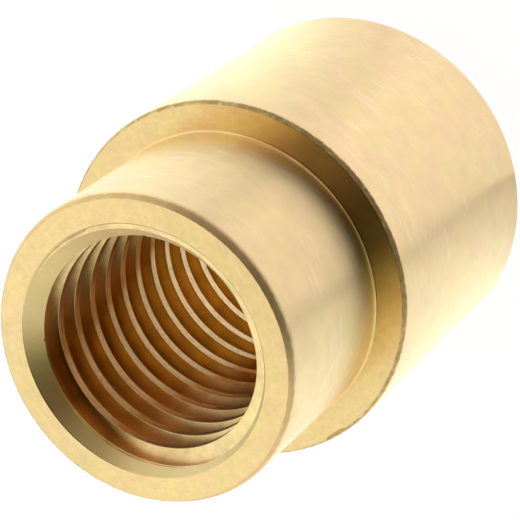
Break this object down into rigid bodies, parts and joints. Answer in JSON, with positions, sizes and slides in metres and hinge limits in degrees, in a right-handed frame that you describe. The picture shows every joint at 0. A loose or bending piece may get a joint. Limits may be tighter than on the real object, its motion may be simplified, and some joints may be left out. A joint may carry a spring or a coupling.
{
  "type": "lift spindle nut",
  "caption": "Turned bronze nut for a lifting spindle: round body, narrower neck behind a flat shoulder, trapezoidal thread right through.",
  "frame": {"origin": "centre of the base, the end face of the body", "axes": "+Z along the thread's axis, from the base towards the neck"},
  "size_m": [0.06, 0.06, 0.08],
  "materials": {
    "bronze": "turned bright bronze, satin, with fine turning marks"
  },
  "bodies": {
    "root": {"spindle_nut": "bronze"}
  },
  "joints": []
}
